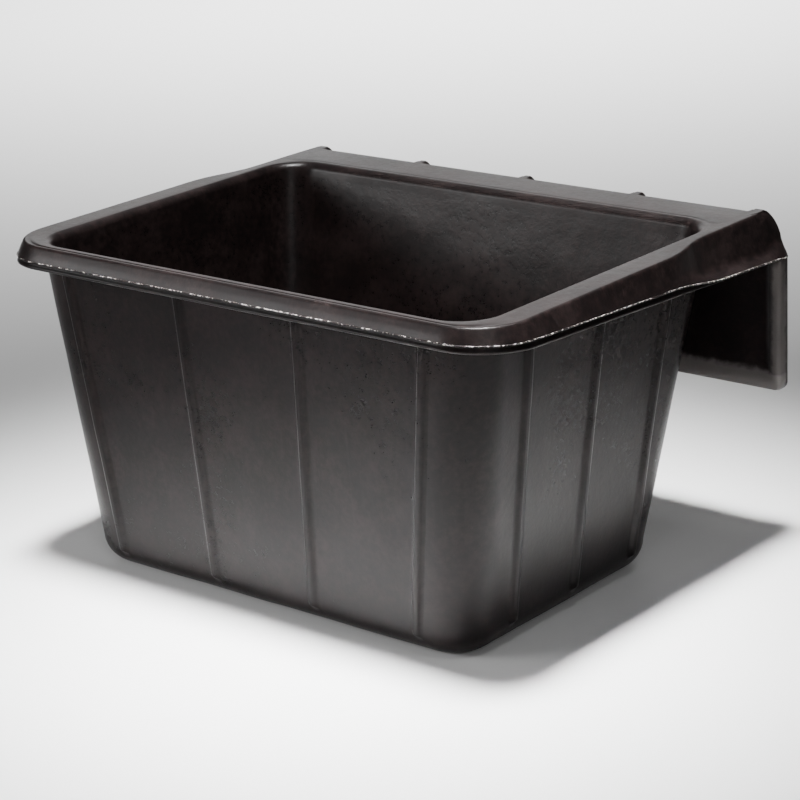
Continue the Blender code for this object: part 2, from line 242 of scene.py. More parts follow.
def tub_ring(z, inset):
    """Right half of the tub's outline at height z. inset draws it in and takes as much off the corners."""
    half = at(TUB_HALF, z)
    front = at(TUB_FRONT, z)
    back = at(TUB_BACK, z)
    radius = max(CORNER - inset, LEAST_RADIUS)
    centre_x = half - inset - radius
    front_y = inset + radius - front
    back_y = back - inset - radius
    ring = np.zeros((HALF_COUNT, 3))
    ring[:, 2] = z
    stretch = centre_x / (half - CORNER)
    ring[FRONT_COLS, 0] = front_run(z, half - CORNER) * stretch
    ring[FRONT_COLS, 1] = inset - front
    ring[TURN_COLS, 0] = centre_x + radius * np.sin(turn)
    ring[TURN_COLS, 1] = front_y - radius * np.cos(turn)
    side = side_run(z)
    middle = (side[0] + side[-1]) / 2
    side = (front_y + back_y) / 2 + (side - middle) * (back_y - front_y) / (side[-1] - side[0])
    ring[SIDE_COLS, 0] = half - inset
    ring[SIDE_COLS, 1] = side
    ring[HOOK_COLS, 0] = centre_x + radius * np.cos(hook_turn)
    ring[HOOK_COLS, 1] = back_y + radius * np.sin(hook_turn)
    ring[BACK_COLS, 0] = back_run(z, half - CORNER) * stretch
    ring[BACK_COLS, 1] = back - inset
    return ring


print("half ring at the floor reaches", tub_ring(0.0, 0.0)[:, 0].max())

# %% Where the ribs are, and their cross-section
NO_RIB = 99.0
RIB_TOP_HALF = 1.4
RIB_FOOT_HALF = 4.3


def nearest(places, centres):
    return np.min(np.abs(places[:, None] - np.array(centres)[None, :]), axis=1)


def rib_distance(z):
    """How far each column stands from the nearest rib of its wall, at height z."""
    far = np.full(HALF_COUNT, NO_RIB)
    ring = tub_ring(z, 0.0)
    far[FRONT_COLS] = nearest(ring[FRONT_COLS, 0], [at(rib, z) for rib in FRONT_RIBS])
    far[SIDE_COLS] = nearest(ring[SIDE_COLS, 1], [at(rib, z) for rib in SIDE_RIBS])
    far[BACK_COLS] = nearest(ring[BACK_COLS, 0], [at(rib, z) for rib in FRONT_RIBS])
    return far


def rib_shape(distance):
    """Cross-section of a rib: a flat-topped round with a small fillet at each foot."""
    return smooth((RIB_FOOT_HALF - np.abs(distance)) / (RIB_FOOT_HALF - RIB_TOP_HALF))


print("columns on a rib:", int((rib_distance(TOP / 2) < RIB_FOOT_HALF).sum()))

# %% [markdown]
# ## Over the flange
# From the mouth outwards there is a rounded lip, a flat top, a shallow groove along the front, and a sloping
# band down to the parting line, where the two halves of the mould met. At the hook the flat top becomes a
# deck with a large round along its back. Separate meshes for these would need joining where they fade into
# each other, so all of it is still rows of the same grid, with the same columns.

# %% The flat's outer edge
ROUND_ROWS = 4
SLOPE_ROWS = 5
FOOT_ROWS = 6
BAND_ROWS = 2
EDGE_COUNT = 1 + ROUND_ROWS + SLOPE_ROWS + FOOT_ROWS + BAND_ROWS
EDGE_RADIUS = 1.6
FILLET = 0.32  # share of the sloping face that its foot's round takes
FILLET_LOST = 0.17  # of that share, at the hook
FILLET_BELOW = 0.18  # how much more of the band the round takes
SLOPE_SHARE = 0.6  # of the way from the flat to the parting line, where the foot is
FRONT_BULGE = 0.35


def bend(start, middle, end, share):
    """A point on a round between two straight lines that meet at middle."""
    return (1 - share) ** 2 * start + 2 * share * (1 - share) * middle + share**2 * end


def edge_profile(edge, foot, widest, fillet=FILLET):
    """Rows from the flat's edge, down the sloping face, round its foot and out to the parting line.

    Each place is a distance outwards and a height. It returns EDGE_COUNT of them."""
    edge, foot, widest = (np.array(p, float) for p in (edge, foot, widest))
    down = (foot - edge) / np.linalg.norm(foot - edge)
    before = edge - (EDGE_RADIUS, 0.0)
    after = edge + down * EDGE_RADIUS
    above = foot + (edge - foot) * fillet
    below = foot + (widest - foot) * (fillet + FILLET_BELOW)
    rows = [bend(before, edge, after, s) for s in np.linspace(0, 1, ROUND_ROWS + 1)]
    rows += [after + (above - after) * s for s in steps_to(0, 1, SLOPE_ROWS)]
    rows += [bend(above, foot, below, s) for s in steps_to(0, 1, FOOT_ROWS)]
    rows += [below + (widest - below) * s for s in steps_to(0, 1, BAND_ROWS)]
    return np.array(rows)


def side_profile(y):
    """The edge's profile on the right side of the bucket, as X and Z."""
    share = narrowed(y)
    parting = flange_bottom(y) + BEAD_HEIGHT * (1 - BEAD_FADE * share)
    edge = (FLAT_HALF + (DECK_HALF - FLAT_HALF) * share, TOP)
    slope_x = edge[0] + (BAND_HALF - edge[0]) * SLOPE_SHARE
    slope_z = TOP + (parting - TOP) * SLOPE_SHARE
    foot_x = slope_x + (FOOT_HALF - slope_x) * share
    foot_z = slope_z + (parting + LEDGE_RISE - slope_z) * share
    return edge_profile(edge, (foot_x, foot_z), (BAND_HALF, parting), FILLET - FILLET_LOST * share)


def front_profile(share, y):
    """The same where the flange turns its front corner. share is 0 on the front and 1 on the side."""
    parting = flange_bottom(y) + BEAD_HEIGHT
    foot_z = TOP + (parting - TOP) * SLOPE_SHARE
    widest = (BAND_FRONT - FLAT_FRONT) * (1 - share) + (BAND_HALF - FLAT_HALF) * share
    foot = (widest * SLOPE_SHARE + FRONT_BULGE * (1 - share), foot_z)
    return edge_profile((0.0, TOP), foot, (widest, parting))


print("rows from the flat to the parting line:", EDGE_COUNT)

# %% The hook's back edge
ARC_ROWS = 12
LEDGE_OUT = 1.6
LEDGE_START = 0.62  # share of the way down from the deck's round to the parting line


def hook_profile():
    """Over the deck's back edge and down to the parting line, as Y, Z and the way the surface faces."""
    centre = np.array([DECK_BACK - DECK_ROUND, TOP - DECK_ROUND])
    rows = []
    for angle in np.radians(np.linspace(0, 90, ARC_ROWS + 1)):
        out = np.array([math.sin(angle), math.cos(angle)])
        rows.append((*(centre + out * DECK_ROUND), *out))
    parting = flange_bottom(DECK_BACK) + BEAD_HEIGHT * (1 - BEAD_FADE)
    arc_end = rows[-1][1]
    for share in steps_to(0, 1, EDGE_COUNT - len(rows)):
        step_out = LEDGE_OUT * ramp(share, LEDGE_START, 1.0)
        rows.append((DECK_BACK + step_out, arc_end + (parting - arc_end) * share, 1.0, 0.0))
    return np.array(rows)


hook_rows = hook_profile()
print("hook's edge from height", hook_rows[0, 1], "to", hook_rows[-1, 1])

# %% The hook's ribs
RISE_ROWS = (0.4, 4.0)  # rows of the edge over which a rib rises out of the deck
FADE_ROWS = (12.0, 17.0)  # rows over which it gets lower again
FADED = 0.6  # share of a rib's height that is gone at the parting line


def hook_rib_lift(row, x):
    """How far the hook's ribs lift the surface of the deck's back, at one row."""
    from_rib = nearest(np.array([min(abs(x), HOOK_RIBS[-1])]), HOOK_RIBS)
    fade = 1 - FADED * ramp(row, *FADE_ROWS)
    return float((HOOK_RIB_HEIGHT * ramp(row, *RISE_ROWS) * fade * rib_shape(from_rib))[0])


def lifted(row, x):
    """Y and Z of a hook row at x, with the ribs' lift."""
    y, z, out_y, out_z = hook_rows[row]
    lift = hook_rib_lift(row, x)
    return y + out_y * lift, z + out_z * lift


print("a rib's height halfway down the deck's round:", hook_rib_lift(ARC_ROWS // 2, HOOK_RIBS[1]))

# %% [markdown]
# ## The corner of the hook
# At each end of the hook a shallow web meets the deck's back in a tight corner, and lower down the ledge goes
# round it in a wide one. A Bevel modifier would need a weight at every step of that edge, so a formula places
# the corner's points instead: plain columns of the web first, then some that lean back, then a quarter turn
# whose radius grows from row to row.

# %% The end web and its corner
LEAN_Y = 150.0  # where the columns start to lean back to the hook's corner
PLAIN = 6
LEANING = 5
TURNING = 5
WEB_ROUND = 2.6
LEAST_ROUND = 0.15  # share of that round on the flat top
ROUND_BY = 6  # the row at which it is full
CORNER_ROW = ARC_ROWS + 1  # the first row below the deck's round
END_RIB_PLACES = RIB_PLACES[5:0:-1]  # the columns of the outermost rib, from its top inwards
AFTER_CORNER = 0.5  # the least distance from the corner to the next column
ON_END_RIB = 1.0  # where that column is otherwise, outwards from the rib's middle
WEB_FACE = side_profile(LEAN_Y)


def web_x(z):
    """Where the end web's face stands at height z."""
    return float(np.interp(-z, -WEB_FACE[:, 1], WEB_FACE[:, 0]))


WEB_END = web_x(hook_rows[ARC_ROWS][1])


def corner_place(row, angle):
    """A point of the corner between the end web and the hook's back, at an angle from 0 on the web to 90."""
    _, _, out_y, out_z = hook_rows[row]
    y, z = lifted(row, DECK_HALF)
    if row < CORNER_ROW:
        radius = WEB_ROUND * max(LEAST_ROUND, float(ramp(row, 0, ROUND_BY)))
        end_x = web_x(z)
    else:
        share = smooth((row - CORNER_ROW + 1) / (EDGE_COUNT - CORNER_ROW))
        radius = WEB_ROUND + (LEDGE_CORNER - WEB_ROUND) * share
        end_x = WEB_END + (BAND_HALF - WEB_END) * share
    back_off = radius * (1 - math.sin(angle))
    x = end_x - radius * (1 - math.cos(angle))
    return np.array([x, y - out_y * back_off, z - out_z * back_off])


def fill_web(rings):
    """The plain columns of the end web."""
    start_y = side_run(TOP)[-1]
    for column, y in enumerate(steps_to(start_y, LEAN_Y, PLAIN), start=HOOK_COLS.start):
        profile = side_profile(y)
        rings[:, column, 0] = profile[:, 0]
        rings[:, column, 1] = y
        rings[:, column, 2] = profile[:, 1]


def fill_corner(rings):
    """The columns that lean back, the corner itself, and the stretch of the deck beyond it."""
    first = HOOK_COLS.start + PLAIN
    corner_first = first + LEANING
    after = corner_first + TURNING
    end_rib = HOOK_RIBS[-1] + END_RIB_PLACES
    left_over = HOOK_COLS.stop - after - len(end_rib) - 1
    for row in range(EDGE_COUNT):
        for step in range(TURNING):
            rings[row, corner_first + step] = corner_place(row, QUARTER * step / (TURNING - 1))
        near = rings[row, first - 1]
        far = rings[row, corner_first]
        for step in range(LEANING):
            place = near + (far - near) * (step + 1) / (LEANING + 1)
            if ROUND_ROWS < row < CORNER_ROW:
                place[0] = web_x(place[2])
            rings[row, first + step] = place
        start = min(rings[row, after - 1, 0] - AFTER_CORNER, HOOK_RIBS[-1] + ON_END_RIB)
        places = [start, *end_rib, *inner_steps(end_rib[-1], TUB_HALF[1] - CORNER, left_over)]
        for column, x in enumerate(places, start=after):
            rings[row, column] = (x, *lifted(row, x))


print("end web's foot stands at", WEB_END)

# %% The rows of the edge, round the whole half


def flange_front_point(share, out):
    """A place round the front corner of the flat's edge, moved outwards."""
    angle = QUARTER * share
    radius = FLANGE_CORNER + out
    x = FLAT_HALF - FLANGE_CORNER + radius * math.sin(angle)
    y = FLANGE_CORNER - FLAT_FRONT - radius * math.cos(angle)
    return x, y


def edge_rings():
    rings = np.zeros((EDGE_COUNT, HALF_COUNT, 3))
    profile = front_profile(0.0, -FLAT_FRONT)
    rings[:, FRONT_COLS, 0] = front_run(TOP, FLAT_HALF - FLANGE_CORNER)
    rings[:, FRONT_COLS, 1] = -FLAT_FRONT - profile[:, :1]
    rings[:, FRONT_COLS, 2] = profile[:, 1:]
    for column, angle in enumerate(turn, start=TURN_COLS.start):
        share = angle / QUARTER
        _, y = flange_front_point(share, 0.0)
        for row, (out, z) in enumerate(front_profile(share, y)):
            rings[row, column] = (*flange_front_point(share, out), z)
    for column, y in enumerate(side_run(TOP), start=SIDE_COLS.start):
        profile = side_profile(y)
        rings[:, column, 0] = profile[:, 0]
        rings[:, column, 1] = y
        rings[:, column, 2] = profile[:, 1]
    fill_web(rings)
    fill_corner(rings)
    for column, x in enumerate(back_run(TOP, TUB_HALF[1] - CORNER), start=BACK_COLS.start):
        for row in range(EDGE_COUNT):
            rings[row, column] = (x, *lifted(row, x))
    return rings


edge = edge_rings()
print("widest point of the band:", edge[..., 0].max(), "front", edge[..., 1].min())

# %% The lip and the flat top
LIP_ROWS = 7
LIP_TURN = math.radians(82)
FLAT_SHARES = (0.25, 0.5, 0.62, 0.74, 0.86)  # of the way from the lip to the flat's edge
FRONT_GROOVE = ((3, 0.5), (4, 0.9))  # row of the flat, and depth
FRONT_GROOVE_TURN = math.radians(75)
BACK_GROOVE = ((0.06, 0.0), (0.085, 0.45), (0.12, 0.0))  # share of the way, and depth


def lip_rings():
    """From the inside wall round the lip to the flat top."""
    rings = []
    for step in range(LIP_ROWS + 1):
        angle = LIP_TURN * step / LIP_ROWS
        rings.append(tub_ring(TOP - LIP * (1 - math.sin(angle)), WALL - LIP * (1 - math.cos(angle))))
    return np.array(rings)


def groove_rings(lip_ring, edge_ring):
    """The flat top, with the groove that runs beside the lip along the front and the back."""
    rings = np.array([lip_ring * (1 - share) + edge_ring * share for share in FLAT_SHARES])
    rings[:, :, 2] = TOP
    in_front = np.zeros(HALF_COUNT)
    in_front[FRONT_COLS] = 1.0
    in_front[TURN_COLS] = smooth(1 - turn / FRONT_GROOVE_TURN)
    for row, depth in FRONT_GROOVE:
        rings[row, :, 2] -= depth * in_front
    behind = np.zeros(HALF_COUNT)
    behind[BACK_COLS] = 1.0
    behind[HOOK_COLS] = smooth(hook_turn / QUARTER * 2 - 0.2)
    for row, (share, depth) in enumerate(BACK_GROOVE):
        moved = lip_ring * (1 - share) + edge_ring * share
        rings[row] = rings[row] * (1 - behind[:, None]) + moved * behind[:, None]
        rings[row, :, 2] = rings[row, :, 2] * (1 - behind) + (TOP - depth) * behind
    return rings


lips = lip_rings()
flats = groove_rings(lips[-1], edge[0])
print("rows of the lip and the flat:", len(lips), len(flats))

# %% [markdown]
# ## Under the flange
# Below the parting line a small bead runs round the edge and fades out towards the hook. The flange is hollow
# underneath, except along the front, which saves rubber and gives fingers a hold. A Solidify modifier would
# give it one thickness all over, so the hollow is more rows of the grid instead. They are seldom seen, but
# the bucket is looked at from below when it hangs on a door.

# %% The bead
BEAD = (  # outwards, and share of the way down
    (-0.25, 0.08), (-0.95, 0.2), (-1.15, 0.32), (-0.7, 0.45),
    (0.05, 0.6), (0.3, 0.75), (0.1, 0.9), (-0.7, 1.0),
)
LEAST_BEAD = 0.25


def outward_of(ring):
    """The level direction away from the bucket, at each column of a half ring."""
    padded_ring = np.vstack([ring[1] * (-1, 1, 1), ring, ring[-2] * (-1, 1, 1)])
    along = padded_ring[2:] - padded_ring[:-2]
    out = np.stack([along[:, 1], -along[:, 0], np.zeros(len(ring))], axis=1)
    return out / np.linalg.norm(out, axis=1)[:, None]


def bead_rings(parting_ring):
    out = outward_of(parting_ring)
    bottom = flange_bottom(np.minimum(parting_ring[:, 1], DECK_BACK))
    height = parting_ring[:, 2] - bottom
    size = np.clip((height / BEAD_HEIGHT)[:, None], LEAST_BEAD, 1.0)
    rings = []
    for outwards, down in BEAD:
        ring = parting_ring + out * outwards * size
        ring[:, 2] = parting_ring[:, 2] - height * down
        rings.append(ring)
    return np.array(rings)


beads = bead_rings(edge[-1])
print("lowest point of the bead:", beads[..., 2].min())

# %% The hollow
POCKET_LOW = (186.9, 162.5)  # the hollow's end and back under the deck, at its mouth and at its roof
POCKET_HIGH = (180.0, 160.0)
POCKET_ROUND = 3.0
FRONT_FOOT_DROP = 7.0  # the flange's foot along the front, below its underside
EDGE_BOTTOM = 1.2  # width of the first row under the edge
HOLLOW_INSET = (SKIRT - 1.5, 9.0)  # of the hollow's mouth at the sides, and what the hook adds
HOLLOW_DRAFT = (4.5, 2.7)  # of its wall, in the same way
LEAST_DRAFT = 0.35  # share that is kept along the front, where the edge isn't hollow
HOLLOW_WALL = (0.15, 0.5, 0.85)
HOLLOW_ROOF = (0.08, 0.5, 0.94)


def fit_pocket(ring, end_x, back_y):
    """Sets the columns round the hook's corner on the edge of the hollow under the deck."""
    first = HOOK_COLS.start + PLAIN
    after = first + LEANING + TURNING
    centre = (end_x - POCKET_ROUND, back_y - POCKET_ROUND)
    for step in range(LEANING):
        share = (step + 1) / (LEANING + 1)
        ring[first + step, :2] = (end_x, LEAN_Y + (centre[1] - LEAN_Y) * share)
    for step in range(TURNING):
        angle = QUARTER * step / (TURNING - 1)
        out = np.array([math.cos(angle), math.sin(angle)])
        ring[first + LEANING + step, :2] = centre + POCKET_ROUND * out
    ring[after:, 0] *= centre[0] / (ring[after, 0] + 1.0)
    ring[after:, 1] = back_y


def hollow_rings(bottom_ring):
    """Across the edge's underside, up inside it, and in to the tub's outer wall."""
    out = outward_of(bottom_ring)
    depth = np.ones(HALF_COUNT)
    depth[FRONT_COLS] = 0.0
    depth[TURN_COLS] = smooth(turn / QUARTER)
    low = bottom_ring[:, 2]
    roof = low + (UNDERSIDE - low) * depth
    depth = depth[:, None]
    foot = tub_ring(UNDERSIDE, 0.0) * depth + tub_ring(UNDERSIDE - FRONT_FOOT_DROP, 0.0) * (1 - depth)
    foot[:, 2] = roof
    narrow = narrowed(bottom_ring[:, 1])[:, None]
    inner_low = bottom_ring - out * (HOLLOW_INSET[0] + HOLLOW_INSET[1] * narrow)
    draft = (HOLLOW_DRAFT[0] + HOLLOW_DRAFT[1] * narrow) * np.maximum(depth, LEAST_DRAFT)
    inner_high = inner_low - out * draft
    fit_pocket(inner_low, *POCKET_LOW)
    fit_pocket(inner_high, *POCKET_HIGH)
    rings = [bottom_ring - out * EDGE_BOTTOM, inner_low]
    for share in HOLLOW_WALL:
        ring = inner_low + (inner_high - inner_low) * share
        ring[:, 2] = low + (roof - low) * share
        rings.append(ring)
    last_wall = rings[-1]
    for share in HOLLOW_ROOF:
        ring = last_wall * (1 - share) + foot * share
        ring[:, 2] = roof
        rings.append(ring)
    return np.array(rings)


hollows = hollow_rings(beads[-1])
print("rows under the flange:", len(beads) + len(hollows))

# %% [markdown]
# ## The walls and the floor
# Inside, the wall rows run from the lip to a rounded foot and across the floor. Outside they run from the
# flange to the base with the ribs standing out. A rib's foot is rounded by taking the distance to a point at
# its lower end, which is simpler than a cap for each rib.

# %% Wall rows
WALL_ROWS = 44
ROUND_STEPS = 9
FLOOR_SHRINK = (0.93, 0.8, 0.6, 0.35, 0.1)
FLOOR_MIDDLE = -12.0  # Y of the point that the floor's rings shrink to


def base_round(bottom, inset, radius):
    """From the wall round into the floor, as rings from high to low."""
    rings = []
    for step in range(ROUND_STEPS + 1):
        angle = QUARTER * step / ROUND_STEPS
        ring = tub_ring(bottom + radius, inset + radius * (1 - math.cos(angle)))
        ring[:, 2] = bottom + radius - radius * math.sin(angle)
        rings.append(ring)
    return rings


def floor_rings(edge_ring):
    rings = []
    for share in FLOOR_SHRINK:
        ring = edge_ring.copy()
        ring[:, 0] *= share
        ring[:, 1] = FLOOR_MIDDLE + (ring[:, 1] - FLOOR_MIDDLE) * share
        rings.append(ring)
    return rings


def inside_rings():
    """From the middle of the floor up to the lip."""
    radius = BASE_ROUND - WALL
    heights = np.linspace(FLOOR + radius, TOP - LIP, WALL_ROWS)
    rounded = base_round(FLOOR, WALL, radius)
    rings = floor_rings(rounded[-1])[::-1] + rounded[::-1]
    return np.array(rings + [tub_ring(z, WALL) for z in heights[1:-1]])


insides = inside_rings()
print("rows inside:", len(insides))

# %% The outside, with its ribs
RIB_LEVEL = RIB_FOOT - 6.0  # below this the ribs' places no longer change
LEAST_DROP = 0.35  # between two rows, where the flange's foot is lower than the first of them
TABLE_STEPS = 4  # rings in a millimetre
tub_table = {}


def tub_ring_point(column, z):
    """One column of the tub's outline, from a table of rings a quarter of a millimetre apart."""
    key = round(z * TABLE_STEPS)
    if key not in tub_table:
        tub_table[key] = tub_ring(key / TABLE_STEPS, 0.0)
    return tub_table[key][column]


def with_ribs(ring, z, out):
    """Lifts the rib columns of an outer ring, with a rounded end at each rib's foot."""
    distance = rib_distance(max(z, RIB_LEVEL))
    below = max(RIB_FOOT - z, 0.0)
    return ring + out * (RIB_HEIGHT * rib_shape(np.hypot(distance, below)))[:, None]


def outside_rings(start_ring):
    """From the flange down to the middle of the base."""
    rings = []
    for number, z in enumerate(np.linspace(UNDERSIDE, BASE_ROUND, WALL_ROWS)):
        ring = tub_ring(z, 0.0)
        capped = np.minimum(start_ring[:, 2] - LEAST_DROP * number, z)
        for column in np.where(capped < z)[0]:
            ring[column] = tub_ring_point(column, capped[column])
        rings.append(with_ribs(ring, z, outward_of(ring)))
    rounded = base_round(0.0, 0.0, BASE_ROUND)
    for step, ring in enumerate(rounded[1:], start=1):
        angle = QUARTER * step / ROUND_STEPS
        out = outward_of(ring) * math.cos(angle)
        out[:, 2] = -math.sin(angle)
        rings.append(with_ribs(ring, ring[0, 2], out))
    return np.array(rings + floor_rings(rounded[-1]))


outsides = outside_rings(hollows[-1])
half_grid = np.concatenate([insides, lips, flats, edge, beads, hollows, outsides])
SPLIT_INSIDE = len(insides) - 1
SPLIT_OUTSIDE = len(half_grid) - len(outsides)
print("rows", len(half_grid), "split at", SPLIT_INSIDE, SPLIT_OUTSIDE)

# %% [markdown]
# ## A wall that isn't quite flat
# A pressed rubber wall is never flat, and what shows it is the reflections, which wander. A bump texture
# could shade that, but the silhouette would stay ruler-straight. So a slow, shallow noise moves the points of
# the walls by a few tenths of a millimetre, after the half grid is mirrored.

# %% Mirror the half and add the ripple
RIPPLE = 0.28
BROAD_WAVE = 46
FINE_WAVE = 19
FINE_SHARE = 0.45
STILL_ROWS = 6  # of the outer wall under the flange


def whole(half):
    left = half[:, -2:0:-1] * (-1, 1, 1)
    return np.concatenate([half, left], axis=1)


def normals_of(grid):
    """Which way each point of the grid faces, from its neighbours."""
    around = np.roll(grid, -1, axis=1) - np.roll(grid, 1, axis=1)
    up = np.empty_like(grid)
    up[1:-1] = grid[2:] - grid[:-2]
    up[0] = grid[1] - grid[0]
    up[-1] = grid[-1] - grid[-2]
    face = np.cross(up, around)
    length = np.linalg.norm(face, axis=2, keepdims=True)
    return face / np.maximum(length, 1e-9)


def ripple(grid, normals):
    moved = grid.copy()
    for row in [*range(len(insides)), *range(SPLIT_OUTSIDE + STILL_ROWS, len(grid))]:
        for column in range(grid.shape[1]):
            place = Vector(grid[row, column])
            fine = noise.noise(place / FINE_WAVE + Vector((7, 3, 1)))
            wave = noise.noise(place / BROAD_WAVE) + FINE_SHARE * fine
            moved[row, column] += normals[row, column] * RIPPLE * wave
    return moved


grid = whole(half_grid)
grid = ripple(grid, normals_of(grid))
grid[..., 2] = np.clip(grid[..., 2], 0.0, TOP)
normals = normals_of(grid)
print("grid", grid.shape, "lowest", grid[..., 2].min())

# %% [markdown]
# ## The rubber
# Pressed rubber is nearly black with a warm cast. It has a fine mottle where the crumb flowed, a dull bloom
# in patches, and a soft sheen. A picture of rubber would need the skin unwrapped, with seams, so every one of
# these is a noise in the material, mixed by small sums. The sums are written as Python expressions: the class
# below wraps a socket and turns + and * into nodes.

# %% A socket that can be added and multiplied


class Term:
    """One output socket of a material, with arithmetic."""

    def __init__(self, tree, socket):
        self.tree = tree
        self.socket = socket

    def node(self, kind, settings=None, **inputs):
        """Adds a node of any type. Settings are set first, then its sockets by name or place."""
        made = self.tree.nodes.new(kind)
        for name, value in (settings or {}).items():
            setattr(made, name, value)
        for name, value in inputs.items():
            socket = made.inputs[int(name[1:])] if name[0] == "_" else made.inputs[name.replace("_", " ")]
            if isinstance(value, Term):
                self.tree.links.new(value.socket, socket)
            else:
                socket.default_value = value
        return made

    def maths(self, operation, *values):
        inputs = {f"_{place}": value for place, value in enumerate(values)}
        return Term(self.tree, self.node("ShaderNodeMath", {"operation": operation}, **inputs).outputs[0])

    def __add__(self, other):
        return self.maths("ADD", self, other)

    def __radd__(self, other):
        return self.maths("ADD", other, self)

    def __sub__(self, other):
        return self.maths("SUBTRACT", self, other)

    def __rsub__(self, other):
        return self.maths("SUBTRACT", other, self)

    def __mul__(self, other):
        return self.maths("MULTIPLY", self, other)

    def __rmul__(self, other):
        return self.maths("MULTIPLY", other, self)

    def between(self, low, high):
        """0 below low, 1 above high, and smooth in between."""
        settings = {"interpolation_type": "SMOOTHSTEP"}
        made = self.node("ShaderNodeMapRange", settings, Value=self, From_Min=low, From_Max=high)
        return Term(self.tree, made.outputs[0])

    def mix_colours(self, first, second):
        """From one colour to another by this value."""
        made = self.node("ShaderNodeMix", {"data_type": "RGBA"}, _0=self, _6=first, _7=second)
        return Term(self.tree, made.outputs[2])

    def part(self, axis):
        """One coordinate of a place: 0, 1 or 2."""
        return Term(self.tree, self.node("ShaderNodeSeparateXYZ", None, Vector=self).outputs[axis])

    def noise(self, scale, detail=3.0, roughness=0.55, stretch=(1.0, 1.0, 1.0)):
        """A noise over the object, in waves of 1 / scale metres."""
        place = Term(self.tree, self.node("ShaderNodeMapping", None, Vector=self, Scale=stretch).outputs[0])
        shape = {"Scale": scale, "Detail": detail, "Roughness": roughness}
        return Term(self.tree, self.node("ShaderNodeTexNoise", None, Vector=place, **shape).outputs[0])


print("operators:", [name for name in vars(Term) if name.startswith("__r")])

# %% The rubber's material
RUBBER = (0.0040, 0.0029, 0.0029, 1.0)
RUBBER_WARM = (0.0095, 0.0057, 0.0055, 1.0)
RUBBER_BLOOM = (0.028, 0.023, 0.0225, 1.0)
SHEEN = 0.15
BUMP_DEPTH = 0.0006  # in metres


def no_extra(place, colour):
    return colour


def rubber(name, bloom=0.20, gloss=0.31, grain=0.24, extra=no_extra):
    """Semi-gloss pressed rubber. bloom is how much dull grey shows, gloss the roughness, grain the bump."""
    material = bpy.data.materials.new(name)
    material.use_nodes = True
    tree = material.node_tree
    shader = tree.nodes["Principled BSDF"]
    place = Term(tree, tree.nodes.new("ShaderNodeTexCoord").outputs["Object"])
    fine = place.noise(900.0, 2.0, 0.6)
    mottle = place.noise(240.0, 4.0, 0.65)
    clouds = place.noise(34.0, 4.0, 0.6)
    patches = place.noise(9.0, 3.0, 0.6)
    streaks = place.noise(260.0, 2.0, 0.5, stretch=(1.0, 1.0, 0.05))
    warm = (mottle * 0.6 + clouds * 0.4).between(0.38, 0.66)
    base = warm.mix_colours(RUBBER, RUBBER_WARM)
    dull = (clouds * 0.5 + mottle * 0.3 + fine * 0.2).between(0.46, 0.74) * bloom
    dull = dull + streaks.between(0.58, 0.78) * patches.between(0.45, 0.7) * bloom
    colour = extra(place, dull.mix_colours(base, RUBBER_BLOOM))
    rough = gloss + (mottle - 0.5) * 0.16 + (patches - 0.5) * 0.22 + (fine - 0.5) * 0.1
    height = fine * 0.16 + mottle * 0.7 + clouds * 1.6
    bump = place.node("ShaderNodeBump", None, Height=height, Strength=grain, Distance=BUMP_DEPTH)
    tree.links.new(colour.socket, shader.inputs["Base Color"])
    tree.links.new(rough.socket, shader.inputs["Roughness"])
    tree.links.new(bump.outputs[0], shader.inputs["Normal"])
    shader.inputs["Specular IOR Level"].default_value = SHEEN
    print(name, "has", len(tree.nodes), "nodes")
    return material


tub_rubber = rubber("tub_rubber")
rim_rubber = rubber("rim_rubber", bloom=0.3, gloss=0.36)

# %% The plate's border, lightened with painted light
# a lighter grey, painted where light falls on the plate's border
BORDER_PAINTED_LIGHT = (0.17, 0.155, 0.15, 1.0)
PAINTED_LIGHT_LOW = (9.0, 14.0)  # above the plate's foot, where the painted light begins to fade and where it is gone
PAINTED_LIGHT_END = (9.0, 4.0)  # in from the plate's ends, where the painted light begins and where it is full
PAINTED_LIGHT_DEEP = (5.0, 9.0)  # behind the inner face, where the painted light fades
PAINTED_LIGHT_BREAK = 0.007  # how far noise moves the painted light's edges, in metres
PAINTED_LIGHT_AT_FOOT = 0.9
PAINTED_LIGHT_AT_ENDS = 0.45


def painted_light_border(place, colour):
    """Painted light: a lighter grey standing for light that falls on the lower edge and the two ends of the
    plate's inner face, broken up by noise.
    """
    cloud = (place.noise(120.0, 4.0, 0.6) - 0.5) * PAINTED_LIGHT_BREAK
    low_start, low_end = ((PLATE_FOOT + up) * MM for up in PAINTED_LIGHT_LOW)
    end_start, end_full = ((PLATE_END - inwards) * MM for inwards in PAINTED_LIGHT_END)
    face_start, face_end = ((PLATE_FACE + deep) * MM for deep in PAINTED_LIGHT_DEEP)
    low = 1.0 - (place.part(2) + cloud).between(low_start, low_end)
    right = (place.part(0) + cloud).between(end_start, end_full)
    left = (0.0 - place.part(0) + cloud).between(end_start, end_full)
    ends = (right + left) * PAINTED_LIGHT_AT_ENDS
    inside = 1.0 - (place.part(1) + cloud).between(face_start, face_end)
    # mask of the painted light: the foot and the ends, on the inner face only
    painted_light_mask = low.maths("MAXIMUM", low * PAINTED_LIGHT_AT_FOOT, ends) * inside
    return painted_light_mask.mix_colours(colour, BORDER_PAINTED_LIGHT)


# the plate's rubber carries painted light along its border
plate_rubber = rubber("plate_rubber", bloom=0.3, gloss=0.42, extra=painted_light_border)

# %% [markdown]
# ## From the grid to pieces
# The skin is cut into the tub, the rim and the hook's deck, so that each can be used or swapped by itself.
# Left open, a cut would show an edge with no thickness, so each piece is closed with faces inside the rubber.
# Both sides of a cut keep the normals of the whole skin, so that no seam shows where the real bucket has
# none.

# %% Make a closed mesh from rings of points
body = sorted(frame["bodies"])[0]


